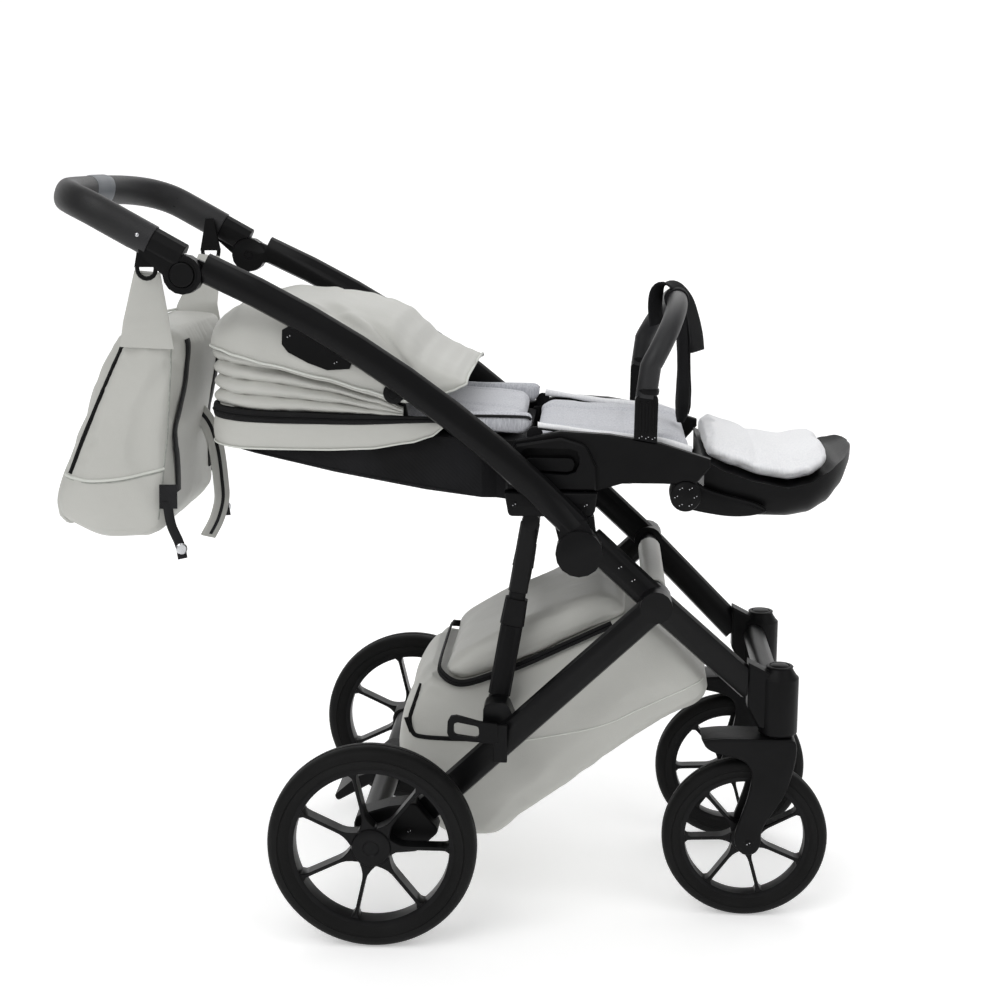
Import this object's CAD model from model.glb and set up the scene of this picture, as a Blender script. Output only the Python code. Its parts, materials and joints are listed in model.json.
"""Looks of the two-in-one pram: finishes, padded liners, folded hood, bag, basket and wheels.

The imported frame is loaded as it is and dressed. Lengths are metres, in the frame's own
axes: X forward, Y to the pram's left, Z up. Side-view places are given from the drawing's
zero, which lies REAR_AXLE_X ahead of the rear axle, and put() moves them into the frame.
"""

import json
import math

import bmesh
import bpy
import numpy as np
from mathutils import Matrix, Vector, noise
from mathutils.bvhtree import BVHTree

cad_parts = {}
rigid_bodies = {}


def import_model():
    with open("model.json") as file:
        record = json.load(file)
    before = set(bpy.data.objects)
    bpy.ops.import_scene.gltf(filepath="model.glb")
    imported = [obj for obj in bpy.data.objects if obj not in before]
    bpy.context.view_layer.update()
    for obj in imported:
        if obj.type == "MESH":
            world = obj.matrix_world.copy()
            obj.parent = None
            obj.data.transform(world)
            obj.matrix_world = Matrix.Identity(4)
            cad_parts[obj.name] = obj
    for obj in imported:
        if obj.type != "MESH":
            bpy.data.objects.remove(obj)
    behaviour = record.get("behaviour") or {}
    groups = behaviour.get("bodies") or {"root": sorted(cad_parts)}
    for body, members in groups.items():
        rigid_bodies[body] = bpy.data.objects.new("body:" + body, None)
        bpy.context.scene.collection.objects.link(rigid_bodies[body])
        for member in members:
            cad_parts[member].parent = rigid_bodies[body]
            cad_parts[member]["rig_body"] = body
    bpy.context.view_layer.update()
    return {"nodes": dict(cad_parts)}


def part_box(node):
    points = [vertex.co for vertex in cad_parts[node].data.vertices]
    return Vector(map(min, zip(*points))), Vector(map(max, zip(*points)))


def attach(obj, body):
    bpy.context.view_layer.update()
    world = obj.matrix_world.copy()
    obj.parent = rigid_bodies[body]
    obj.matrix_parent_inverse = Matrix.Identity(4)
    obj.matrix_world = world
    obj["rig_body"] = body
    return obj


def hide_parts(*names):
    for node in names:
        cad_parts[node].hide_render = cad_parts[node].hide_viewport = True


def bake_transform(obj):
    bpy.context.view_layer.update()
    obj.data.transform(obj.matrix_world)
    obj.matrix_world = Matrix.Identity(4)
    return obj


bl_info = {
    "name": "Two-in-one pram dressing",
    "version": (1, 0, 0),
    "blender": (4, 5, 0),
    "location": "View3D > Sidebar > Pram",
    "description": "Dresses the frame of a pram with its fabrics, wheels and fittings",
    "category": "Object",
}

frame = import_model()
NODES = frame["nodes"]

# The drawing's zero, found from the rear wheel's axle
REAR_AXLE_X = -0.270
WHEEL_LOW, WHEEL_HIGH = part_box("rear_wheel_right_tyre")
SHIFT = (WHEEL_LOW.x + WHEEL_HIGH.x) / 2 - REAR_AXLE_X
SIDES = (("right", -1), ("left", 1))
FINISHES = {}

# The upper tubes' place across the pram, and the handlebar's own line
TUBE_Y = 0.2208
BAR_REAR_X = -0.728
BAR_CORNER_X = -0.630
BAR_SLOPE = 0.555
HOOK_X = -0.583
JOINT_X, JOINT_Z = -0.5245, 0.9514
SLEEVE_FROM_Y = 0.018
SLEEVE_TO_Y = 0.098
BUMPER_TOP_X = 0.1575
BUMPER_TOP_Z = 0.9020
BUMPER_R = 0.0135

# Frames of the stuffing's simulation, and the blades of each wheel with their turn
CLOTH_FRAMES = 20
BLADES = 7
FRONT_WHEEL_TURN = math.radians(28)
# (name, radius, tyre's depth and width, hub's radius and width, turn of the blades)
WHEELS = (
    ("rear_wheel", 0.150, 0.034, 0.044, 0.030, 0.034, 0.0),
    ("front_wheel", 0.122, 0.029, 0.036, 0.022, 0.030, FRONT_WHEEL_TURN),
)

# The camera's place and turn, fitted to the wheels, and the studio's lamps
CAMERA_PLACE = (0.21615, -2.5067, 1.1192)
CAMERA_TURN = (math.radians(78.21), 0, math.radians(3.393))
STUDIO_GLOW = 0.34
# (name, place, side in metres, watts)
LAMPS = (
    ("key_softbox", (-1.6, -2.8, 3.2), 3.0, 68),
    ("fill_softbox", (2.6, -1.8, 2.4), 2.6, 22),
    ("top_softbox", (0.2, 0.4, 4.2), 4.0, 42),
    ("rim_softbox", (0.6, 3.2, 3.0), 2.4, 14),
)
LAMPS_AIM = Vector((0.0, 0.0, 0.45))


def put(x, y, z):
    """A place in the frame from the side drawing's own numbers."""
    return Vector((x + SHIFT, y, z))


# ---------------------------------------------------------------- settings


class PRAM_PG_colours(bpy.types.PropertyGroup):
    """Colours of the pram's finishes, as sRGB hex."""

    frame: bpy.props.StringProperty(
        name="Frame", description="Powder coat on the tubes", default="0A0A0B"
    )
    plastic: bpy.props.StringProperty(
        name="Plastic", description="Moulded joints and brackets", default="09090A"
    )
    tyre: bpy.props.StringProperty(
        name="Tyres", description="Foam rubber of the tyres", default="0E0E0E"
    )
    grip: bpy.props.StringProperty(
        name="Grips", description="Leatherette of the handlebar and bumper bar", default="161617"
    )
    sleeve: bpy.props.StringProperty(
        name="Sleeve", description="Band on the handlebar", default="63676C"
    )
    cover: bpy.props.StringProperty(
        name="Cover", description="Coated fabric of hood, bag and basket", default="BABAB5"
    )
    liner: bpy.props.StringProperty(
        name="Liner", description="Melange jersey of the seat's liner", default="D8D9DE"
    )
    apron: bpy.props.StringProperty(
        name="Footrest pad", description="Pale jersey of the footrest's pad", default="FAFAFB"
    )
    canvas: bpy.props.StringProperty(
        name="Canvas", description="Black woven underside and straps", default="0F0F10"
    )


class PRAM_PG_sizes(bpy.types.PropertyGroup):
    """Sizes of the soft pieces and of the stage."""

    puff: bpy.props.FloatProperty(
        name="Puff",
        description="How far the seat's pads and the bag may swell",
        default=0.005,
        unit="LENGTH",
    )
    piping: bpy.props.FloatProperty(
        name="Piping",
        description="Radius of the cord sewn along the liner's and the bag's edges",
        default=0.0022,
        unit="LENGTH",
    )
    edge: bpy.props.FloatProperty(
        name="Edge rounding",
        description="Rounding of the moulded pieces' edges",
        default=0.0009,
        unit="LENGTH",
    )
    lens: bpy.props.FloatProperty(
        name="Lens", description="Focal length of the camera", default=60.53, unit="CAMERA"
    )


def colours():
    """The colours that the sidebar shows."""
    return bpy.context.scene.pram_colours


def sizes():
    """The sizes that the sidebar shows."""
    return bpy.context.scene.pram_sizes


# ---------------------------------------------------------------- materials


def linear(code):
    """An sRGB hex colour as the linear RGBA that a shader takes."""
    channels = [int(code[i : i + 2], 16) / 255 for i in (0, 2, 4)]
    return tuple(
        c / 12.92 if c <= 0.04045 else ((c + 0.055) / 1.055) ** 2.4 for c in channels
    ) + (1.0,)


def add_node(material, kind, settings=None, **inputs):
    """Add a shader node; inputs are plain values or the sockets that feed them."""
    tree = material.node_tree
    node = tree.nodes.new("ShaderNode" + kind)
    for name, value in (settings or {}).items():
        setattr(node, name, value)
    for name, value in inputs.items():
        socket = node.inputs[int(name[1:])] if name[1:].isdigit() else node.inputs[name]
        if isinstance(value, bpy.types.NodeSocket):
            tree.links.new(value, socket)
        else:
            socket.default_value = value
    return node


def start_finish(name, roughness, metallic=0.0, gloss=0.5):
    """A material with its Principled shader's own values set."""
    material = bpy.data.materials.new(name)
    material.use_nodes = True
    shader = material.node_tree.nodes["Principled BSDF"]
    shader.inputs["Roughness"].default_value = roughness
    shader.inputs["Metallic"].default_value = metallic
    shader.inputs["Specular IOR Level"].default_value = gloss
    place = add_node(material, "TexCoord").outputs["Object"]
    FINISHES[name] = material
    return material, shader, place


def per_metre(size_mm):
    """Texture scale whose cell is the given size."""
    return 1000.0 / size_mm


def two_tone(material, shader, share, code, other):
    """Colour the shader between two tones, by the share of the second."""
    mix = add_node(
        material,
        "Mix",
        {"data_type": "RGBA"},
        i0=share.outputs["Result"],
        i6=linear(code),
        i7=linear(other),
    )
    material.node_tree.links.new(mix.outputs[2], shader.inputs["Base Color"])


def stain(material, shader, place, code, other, size_mm, low=0.35, high=0.65):
    """Drift the colour between two tones over patches of a given size."""
    patch = add_node(material, "TexNoise", Vector=place, Scale=per_metre(size_mm), Detail=3.0)
    share = add_node(material, "MapRange", i0=patch.outputs["Fac"], i1=low, i2=high)
    two_tone(material, shader, share, code, other)


def relief(material, shader, heights):
    """Stack bumps, coarse first: each entry is a height socket and its depth in mm."""
    last = None
    for height, depth_mm in heights:
        bump = add_node(material, "Bump", Height=height, Distance=depth_mm / 1000, Strength=1.0)
        if last is not None:
            material.node_tree.links.new(last.outputs["Normal"], bump.inputs["Normal"])
        last = bump
    material.node_tree.links.new(last.outputs["Normal"], shader.inputs["Normal"])


def powder_coat():
    """Powder-coated aluminium: a satin black with the fine orange peel of baked powder.

    The peel, under 1 mm in life, is drawn at 1.6 mm so that it shows."""
    material, shader, place = start_finish("powder_coated_aluminium", 0.36, gloss=0.14)
    stain(material, shader, place, colours().frame, "0E0E0F", 90)
    peel = add_node(material, "TexNoise", Vector=place, Scale=per_metre(1.6), Detail=2.0)
    relief(material, shader, [(peel.outputs["Fac"], 0.05)])


def moulded_nylon():
    """Spark-eroded nylon: matte black, its fine pits seen as a soft broken highlight.

    The pits, about 0.2 mm in life, are drawn at 1.1 mm so that they show."""
    material, shader, place = start_finish("moulded_nylon", 0.44, gloss=0.13)
    stain(material, shader, place, colours().plastic, "0D0D0E", 60)
    pits = add_node(material, "TexVoronoi", Vector=place, Scale=per_metre(1.1))
    drift = add_node(material, "TexNoise", Vector=place, Scale=per_metre(14), Detail=2.0)
    relief(material, shader, [(drift.outputs["Fac"], 0.15), (pits.outputs["Distance"], 0.06)])


def wheel_nylon():
    """Glass-filled nylon of the wheel centres: smoother than the joints, with faint flow marks."""
    material, shader, place = start_finish("glass_filled_nylon", 0.34, gloss=0.13)
    stain(material, shader, place, colours().plastic, "121213", 45)
    flow = add_node(material, "TexNoise", Vector=place, Scale=per_metre(9), Detail=4.0)
    relief(material, shader, [(flow.outputs["Fac"], 0.10)])


def foam_rubber():
    """Moulded EVA foam of the tyres: dull black skin with open pores and a greyer scuff."""
    material, shader, place = start_finish("eva_foam_rubber", 0.60, gloss=0.14)
    stain(material, shader, place, colours().tyre, "131313", 55, 0.4, 0.75)
    pores = add_node(material, "TexVoronoi", Vector=place, Scale=per_metre(1.4))
    swell = add_node(material, "TexNoise", Vector=place, Scale=per_metre(18), Detail=3.0)
    relief(material, shader, [(swell.outputs["Fac"], 0.25), (pores.outputs["Distance"], 0.12)])


def pebbled(name, code, other, roughness, grain_mm, depth_mm, slack_mm=0.0, gloss=0.35):
    """Leatherette: a coated cloth embossed with a pebble grain, over a softer drift.

    The grain, about 0.8 mm in life, is drawn at 1.1 to 1.5 mm so that it shows."""
    material, shader, place = start_finish(name, roughness, gloss=gloss)
    stain(material, shader, place, code, other, 110)
    grain = add_node(
        material,
        "TexVoronoi",
        {"feature": "SMOOTH_F1"},
        Vector=place,
        Scale=per_metre(grain_mm),
        Smoothness=0.35,
    )
    slack = add_node(material, "TexNoise", Vector=place, Scale=per_metre(34), Detail=2.0)
    heights = [(slack.outputs["Fac"], slack_mm), (grain.outputs["Distance"], depth_mm)]
    relief(material, shader, heights)


def leatherettes():
    """Embossed PU leatherette: the grips' black, the band's grey and the covers' pale coat."""
    pebbled("black_leatherette", colours().grip, "202022", 0.46, 1.5, 0.22)
    pebbled("grey_leatherette", colours().sleeve, "6E7277", 0.44, 1.5, 0.20)
    pebbled("pale_leatherette", colours().cover, "B7B7B2", 0.50, 1.3, 0.14, 1.6)
    pebbled("pale_trim", "D2D4CE", "C8CAC4", 0.52, 1.1, 0.10)


def jersey(name, code, other, fleck_mm, contrast):
    """Melange jersey: light and dark yarns knitted together, seen as short streaks.

    The yarn's flecks are as long as in life, its 0.8 mm stitches are drawn at 1.3 mm."""
    material, shader, place = start_finish(name, 0.88)
    shader.inputs["Sheen Weight"].default_value = 0.25
    shader.inputs["Sheen Roughness"].default_value = 0.5
    along = add_node(material, "Mapping", Vector=place, Scale=(1.0, 1.0, 0.16))
    yarn = add_node(
        material,
        "TexNoise",
        Vector=along.outputs["Vector"],
        Scale=per_metre(fleck_mm),
        Detail=5.0,
        Roughness=0.7,
    )
    share = add_node(
        material, "MapRange", i0=yarn.outputs["Fac"], i1=0.5 - contrast, i2=0.5 + contrast
    )
    two_tone(material, shader, share, other, code)
    stitch = add_node(material, "TexVoronoi", Vector=place, Scale=per_metre(1.3))
    wadding = add_node(material, "TexNoise", Vector=place, Scale=per_metre(26), Detail=2.0)
    relief(material, shader, [(wadding.outputs["Fac"], 1.2), (stitch.outputs["Distance"], 0.20)])


def jerseys():
    """The liner's grey melange and the footrest pad's nearly white one."""
    jersey("melange_jersey", colours().liner, "AEB0B7", 2.2, 0.16)
    jersey("pale_jersey", colours().apron, "E8E9EC", 2.2, 0.20)


def woven(name, code, other, thread_mm, roughness=0.85):
    """Plain-woven polyester: crossing threads drawn a little coarser than life."""
    material, shader, place = start_finish(name, roughness, gloss=0.2)
    stain(material, shader, place, code, other, 70)
    warp, weft = (
        add_node(
            material,
            "TexWave",
            {"bands_direction": direction},
            Vector=place,
            Scale=per_metre(thread_mm) / 6.3,
        ).outputs["Fac"]
        for direction in ("DIAGONAL", "Y")
    )
    cross = add_node(material, "Math", {"operation": "MAXIMUM"}, i0=warp, i1=weft)
    sag = add_node(material, "TexNoise", Vector=place, Scale=per_metre(40), Detail=2.0)
    relief(material, shader, [(sag.outputs["Fac"], 1.5), (cross.outputs["Value"], 0.15)])


def wovens():
    """Black canvas of the underside, the straps' webbing and the zips' tape."""
    woven("black_canvas", colours().canvas, "19191B", 1.6)
    woven("webbing", "161617", "202022", 2.4, 0.7)
    woven("zip_tape", "121213", "1B1B1C", 1.2, 0.8)


def plated_steel():
    """Nickel-plated steel of rivets, sliders and screw pits: bright, slightly streaked."""
    material, shader, place = start_finish("plated_steel", 0.22, 1.0)
    stain(material, shader, place, "C9CACC", "B4B5B8", 12)
    scratch = add_node(material, "TexNoise", Vector=place, Scale=per_metre(0.8), Detail=2.0)
    relief(material, shader, [(scratch.outputs["Fac"], 0.02)])


def sewing_thread():
    """Bonded polyester sewing thread, a shade darker than the cover it closes."""
    material, shader, place = start_finish("sewing_thread", 0.6)
    stain(material, shader, place, "8E918C", "A2A59F", 6)
    twist = add_node(material, "TexNoise", Vector=place, Scale=per_metre(0.9), Detail=1.0)
    relief(material, shader, [(twist.outputs["Fac"], 0.08)])


# ---------------------------------------------------------------- mesh tools


def make_object(name, bm, finish, sharp_deg=40):
    """Turn a bmesh into a smooth-shaded object with a finish."""
    bmesh.ops.recalc_face_normals(bm, faces=bm.faces)
    mesh = bpy.data.meshes.new(name)
    bm.to_mesh(mesh)
    bm.free()
    mesh.shade_smooth()
    mesh.set_sharp_from_angle(angle=math.radians(sharp_deg))
    obj = bpy.data.objects.new(name, mesh)
    bpy.context.scene.collection.objects.link(obj)
    obj.data.materials.append(FINISHES[finish])
    return obj


def skin(rings, bm=None):
    """Skin equal rings of points into one closed surface, capped at both ends."""
    bm = bm or bmesh.new()
    made = [[bm.verts.new(p) for p in ring] for ring in rings]
    for lower, upper in zip(made, made[1:]):
        for j in range(len(lower)):
            k = (j + 1) % len(lower)
            bm.faces.new((lower[j], lower[k], upper[k], upper[j]))
    bm.faces.new(list(reversed(made[0])))
    bm.faces.new(made[-1])
    return bm


def sheet_grid(rows, thickness):
    """A closed thin sheet from a grid of points, thickened along its own normals."""
    grid = np.array([[list(p) for p in row] for row in rows], float)
    across = np.gradient(grid, axis=1)
    along = np.gradient(grid, axis=0)
    normal = np.cross(along, across)
    length = np.linalg.norm(normal, axis=2, keepdims=True)
    normal = normal / np.maximum(length, 1e-12)
    faces = [grid, grid - normal * thickness]
    bm = bmesh.new()
    made = [[[bm.verts.new(p) for p in row] for row in face] for face in faces]
    rows_n, cols_n = grid.shape[:2]
    for layer in made:
        for i in range(rows_n - 1):
            for j in range(cols_n - 1):
                bm.faces.new(
                    (layer[i][j], layer[i][j + 1], layer[i + 1][j + 1], layer[i + 1][j])
                )
    front, back = made
    for i in range(rows_n - 1):
        for j in (0, cols_n - 1):
            bm.faces.new((front[i][j], front[i + 1][j], back[i + 1][j], back[i][j]))
    for j in range(cols_n - 1):
        for i in (0, rows_n - 1):
            bm.faces.new((front[i][j], front[i][j + 1], back[i][j + 1], back[i][j]))
    return bm


def spline(points, count):
    """Evenly spaced points on a smooth curve through the given ones."""
    pts = [Vector(p) for p in points]
    dense = []
    last = len(pts) - 1
    for i in range(last):
        p0, p1, p2, p3 = pts[max(i - 1, 0)], pts[i], pts[i + 1], pts[min(i + 2, last)]
        for k in range(20):
            t = k / 20
            dense.append(
                0.5
                * (
                    2 * p1
                    + (p2 - p0) * t
                    + (2 * p0 - 5 * p1 + 4 * p2 - p3) * t * t
                    + (3 * p1 - p0 - 3 * p2 + p3) * t**3
                )
            )
    dense.append(pts[-1])
    runs = [0.0]
    for a, b in zip(dense, dense[1:]):
        runs.append(runs[-1] + (b - a).length)
    result = []
    index = 0
    for k in range(count):
        goal = runs[-1] * k / (count - 1)
        while index < len(runs) - 2 and runs[index + 1] < goal:
            index += 1
        span = max(runs[index + 1] - runs[index], 1e-12)
        result.append(dense[index].lerp(dense[index + 1], (goal - runs[index]) / span))
    return result


def ahead_of(path, index):
    """The direction in which a path runs at one of its points."""
    last = len(path) - 1
    return (path[min(index + 1, last)] - path[max(index - 1, 0)]).normalized()


def rounded(half_w, half_h, steps, power=2.0):
    """A rounded section as (across, up) offsets; power 2 is an ellipse, more is squarer."""
    section = []
    for i in range(steps):
        turn = 2 * math.pi * (i + 0.5) / steps
        c, s = math.cos(turn), math.sin(turn)
        section.append(
            (
                half_w * math.copysign(abs(c) ** (2 / power), c),
                half_h * math.copysign(abs(s) ** (2 / power), s),
            )
        )
    return section


def sweep(path, section, across=(0, 1, 0)):
    """Sweep a section along a path; its first offset stays near the across axis."""
    rings = []
    for i, point in enumerate(path):
        ahead = ahead_of(path, i)
        axis = Vector(across)
        side = (axis - ahead * axis.dot(ahead)).normalized()
        up = ahead.cross(side)
        rings.append([point + side * a + up * b for a, b in section])
    return skin(rings)


def lathe(profile, centre, axis, steps, ring=False, bm=None):
    """Turn a (radius, along) profile round an axis through the centre."""
    bm = bm or bmesh.new()
    axis = Vector(axis).normalized()
    side = Vector((1, 0, 0)) if abs(axis.x) < 0.9 else Vector((0, 1, 0))
    side = (side - axis * side.dot(axis)).normalized()
    up = axis.cross(side)
    rows = []
    for radius, along in profile:
        middle = Vector(centre) + axis * along
        if radius <= 0:
            rows.append([bm.verts.new(middle)])
            continue
        rows.append(
            [
                bm.verts.new(
                    middle
                    + side * radius * math.cos(2 * math.pi * i / steps)
                    + up * radius * math.sin(2 * math.pi * i / steps)
                )
                for i in range(steps)
            ]
        )
    pairs = list(zip(rows, rows[1:]))
    if ring:
        pairs.append((rows[-1], rows[0]))
    for lower, upper in pairs:
        for i in range(steps):
            k = (i + 1) % steps
            if len(lower) == 1:
                bm.faces.new((lower[0], upper[i], upper[k]))
            elif len(upper) == 1:
                bm.faces.new((lower[i], upper[0], lower[k]))
            else:
                bm.faces.new((lower[i], upper[i], upper[k], lower[k]))
    if not ring:
        for row in (rows[0], rows[-1]):
            if len(row) > 1:
                bm.faces.new(row)
    return bm


def outline_solid(outline, y_from, y_to, inset, edge_steps=4):
    """A solid across Y from an X-Z outline, its two rims rounded by the inset."""
    flat = [Vector((p[0], 0, p[1])) for p in outline]
    count = len(flat)
    inward = []
    pairs = list(zip(flat, flat[1:] + flat[:1]))
    area = sum(a.x * b.z - b.x * a.z for a, b in pairs)
    for i in range(count):
        ahead = (flat[(i + 1) % count] - flat[i - 1]).normalized()
        normal = Vector((-ahead.z, 0, ahead.x))
        inward.append(normal if area > 0 else -normal)
    rings = []
    for end, sense in ((y_from, 1), (y_to, -1)):
        rims = []
        for k in range(edge_steps + 1):
            turn = math.pi / 2 * k / edge_steps
            depth = inset * (1 - math.sin(turn))
            y = end + sense * inset * (1 - math.cos(turn))
            rim = [put(p.x, y, p.z) + n * depth for p, n in zip(flat, inward)]
            rims.append(rim)
        rings += rims if sense > 0 else list(reversed(rims))
    return skin(rings)


def refine(node, finish, width=None, sharp=32):
    """A softened copy of a rigid CAD piece: welded, its flats cleaned, its edges eased."""
    bm = bmesh.new()
    bm.from_mesh(NODES[node].data)
    bmesh.ops.remove_doubles(bm, verts=bm.verts, dist=1e-5)
    bmesh.ops.dissolve_limit(
        bm, angle_limit=math.radians(0.5), verts=bm.verts, edges=bm.edges, delimit={"NORMAL"}
    )
    obj = make_object(node + "_shaped", bm, finish, sharp)
    ease = obj.modifiers.new("eased_edges", "BEVEL")
    ease.width = width or sizes().edge
    ease.segments = 2
    ease.limit_method = "ANGLE"
    ease.angle_limit = math.radians(32)
    ease.use_clamp_overlap = True
    ease.harden_normals = False
    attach(obj, NODES[node]["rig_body"])
    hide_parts(node)
    return obj


def read_points(obj, kind="co"):
    """The places (co) or the normals of an object's points, one row each."""
    values = np.empty(len(obj.data.vertices) * 3)
    obj.data.vertices.foreach_get(kind, values)
    return values.reshape(-1, 3)


def write_points(obj, points):
    """Move an object's points to the given rows."""
    obj.data.vertices.foreach_set("co", points.ravel())
    obj.data.update()


def apply_modifiers(obj):
    """Bake an object's modifiers into its mesh."""
    depsgraph = bpy.context.evaluated_depsgraph_get()
    mesh = bpy.data.meshes.new_from_object(obj.evaluated_get(depsgraph))
    obj.modifiers.clear()
    old = obj.data
    obj.data = mesh
    bpy.data.meshes.remove(old)


def remesh(obj, voxel):
    """Retile a closed mesh evenly, ready for simulation or sculpting."""
    modifier = obj.modifiers.new("retile", "REMESH")
    modifier.mode = "VOXEL"
    modifier.voxel_size = voxel
    apply_modifiers(obj)
    obj.data.shade_smooth()


def puff(obj, voxel, cap, slack, hold=None):
    """Blow a closed cover up as stuffed cloth, keeping every point within the cap.

    slack lets the cloth grow, which wrinkles it; hold(point) marks what stays pinned."""
    remesh(obj, voxel)
    rest = read_points(obj)
    if hold is not None:
        group = obj.vertex_groups.new(name="held")
        for i, p in enumerate(rest):
            if hold(p):
                group.add([i], 1.0, "REPLACE")
    cloth = obj.modifiers.new("stuffing", "CLOTH")
    cloth.settings.quality = 5
    cloth.settings.mass = 0.3
    cloth.settings.tension_stiffness = 15
    cloth.settings.compression_stiffness = 15
    cloth.settings.bending_stiffness = 0.5
    cloth.settings.use_pressure = True
    cloth.settings.uniform_pressure_force = 4.0
    cloth.settings.effector_weights.gravity = 0.0
    cloth.settings.shrink_min = -slack
    cloth.collision_settings.use_collision = False
    if hold is not None:
        cloth.settings.vertex_group_mass = "held"
    cloth.point_cache.frame_start = 1
    cloth.point_cache.frame_end = CLOTH_FRAMES
    scene = bpy.context.scene
    for number in range(1, CLOTH_FRAMES + 1):
        scene.frame_set(number)
    depsgraph = bpy.context.evaluated_depsgraph_get()
    swollen = bpy.data.meshes.new_from_object(obj.evaluated_get(depsgraph))
    moved = np.empty(len(swollen.vertices) * 3)
    swollen.vertices.foreach_get("co", moved)
    obj.modifiers.clear()
    step = moved.reshape(-1, 3) - rest
    reach = np.linalg.norm(step, axis=1, keepdims=True)
    step = step * np.minimum(1.0, cap / np.maximum(reach, 1e-9))
    write_points(obj, rest + step)
    bpy.data.meshes.remove(swollen)
    scene.frame_set(1)


def even(obj, passes, strength=0.5):
    """Smooth a mesh's points a little."""
    modifier = obj.modifiers.new("even", "SMOOTH")
    modifier.iterations = passes
    modifier.factor = strength
    apply_modifiers(obj)
    obj.data.shade_smooth()


def sculpt(obj, push):
    """Move each point along its normal by push(x, y, z), given in the drawing's numbers."""
    points, normals = read_points(obj), read_points(obj, "normal")
    depth = np.array([push(p[0] - SHIFT, p[1], p[2]) for p in points])
    write_points(obj, points + normals * depth[:, None])


def subdivide(obj):
    """Round an object's faces by one subdivision."""
    modifier = obj.modifiers.new("finer", "SUBSURF")
    modifier.levels = 1
    modifier.render_levels = 1


def carry(obj, body, node=None):
    """Let a piece ride on its body, take its slot and stand for its CAD node."""
    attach(obj, body)
    if node:
        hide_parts(node)
    return obj


def dress(obj, body, node=None):
    """Round a stuffed piece once more, carry it and declare how full it is."""
    subdivide(obj)
    carry(obj, body, node)


def cord_along(name, path, radius, finish, body, steps=8):
    """A round bead along a path, for piping, stitches and zip chains."""
    obj = make_object(name, sweep(path, rounded(radius, radius, steps)), finish)
    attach(obj, body)


def ribbon(name, path, faces, width, thickness, finish, body):
    """A flat strap: its width runs across the path, square to the given face normals."""
    rings = []
    for i, point in enumerate(path):
        ahead = ahead_of(path, i)
        face = Vector(faces[i] if isinstance(faces, list) else faces)
        face = (face - ahead * face.dot(ahead)).normalized()
        side = ahead.cross(face)
        w, t = width / 2, thickness / 2
        lip = thickness * 0.35
        ring = [(-w, -t + lip), (-w + lip, -t), (w - lip, -t), (w, -t + lip)]
        ring += [(w, t - lip), (w - lip, t), (-w + lip, t), (-w, t - lip)]
        rings.append([point + side * a + face * b for a, b in ring])
    obj = make_object(name, skin(rings), finish, 50)
    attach(obj, body)
    return obj


def laid(path, piece, toward, lift):
    """The path moved along a direction until it lies on a piece, raised off it by the lift."""
    tree = BVHTree.FromPolygons(
        [v.co for v in piece.data.vertices], [tuple(p.vertices) for p in piece.data.polygons]
    )
    toward = Vector(toward)
    placed = []
    for point in path:
        hit = tree.ray_cast(point - toward * 0.08, toward)[0]
        placed.append(hit - toward * lift if hit else point)
    return placed


def mirrored(half):
    """A path that ends at the pram's middle, run on over the other side."""
    return half + [Vector((p.x, -p.y, p.z)) for p in reversed(half[:-1])]


def smooth_outline(points, count):
    """A closed outline through the points, as evenly spaced (x, z) pairs."""
    closed = [Vector((x, 0, z)) for x, z in points]
    return [(p.x, p.z) for p in spline(closed + [closed[0]], count + 1)[:-1]]


def ripple(x, y, z, size, seed=0.0):
    """Smooth noise from -1 to 1 at a place, over folds of the given size."""
    return noise.noise(Vector((x / size + seed, y / size - seed, z / size + seed * 0.5)))


def smooth_step(low, high, value):
    """0 at the first value and 1 at the second, eased at both ends."""
    share = min(1.0, max(0.0, (value - low) / (high - low)))
    return share * share * (3 - 2 * share)


def interpolate(table, x):
    """Values of a (x, a, b, ...) table at x, on smooth curves between its rows."""
    if x <= table[0][0]:
        return table[0][1:]
    for lower, upper in zip(table, table[1:]):
        if x <= upper[0]:
            share = (x - lower[0]) / (upper[0] - lower[0])
            share = share * share * (3 - 2 * share) * 0.5 + share * 0.5
            return tuple(a + (b - a) * share for a, b in zip(lower[1:], upper[1:]))
    return table[-1][1:]


# ---------------------------------------------------------------- small fittings


def screw_set(name, places, body, radius=0.0042):
    """Spanner-head screws facing the pram's near or far side: dark heads, two bright pits."""
    heads, pits = bmesh.new(), bmesh.new()
    dome = [(0, 0.0011), (radius * 0.55, 0.0010), (radius * 0.9, 0.0005), (radius, -0.0008)]
    pit = [(0, 0.0014), (0.0008, 0.0012), (0.0011, 0.0002)]
    for x, y, z in places:
        out = (0, math.copysign(1, y), 0)
        centre = put(x, y, z)
        lathe(dome, centre, out, 20, bm=heads)
        for k in (-1, 1):
            lathe(pit, centre + Vector((0.0018 * k, 0, 0.0010 * k)), out, 10, bm=pits)
    carry(make_object(name + "_heads", heads, "moulded_nylon"), body)
    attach(make_object(name + "_pits", pits, "plated_steel"), body)


def both_sides(places):
    """The same side-view places on the near and the far side."""
    return [(x, side * y, z) for x, y, z in places for _, side in SIDES]


def flat_plate(name, outline, y_from, y_to, finish, body, inset=0.0008):
    """A thin plate across Y with eased rims, carried by a body."""
    obj = make_object(name, outline_solid(outline, y_from, y_to, inset), finish)
    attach(obj, body)
    return obj


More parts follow.
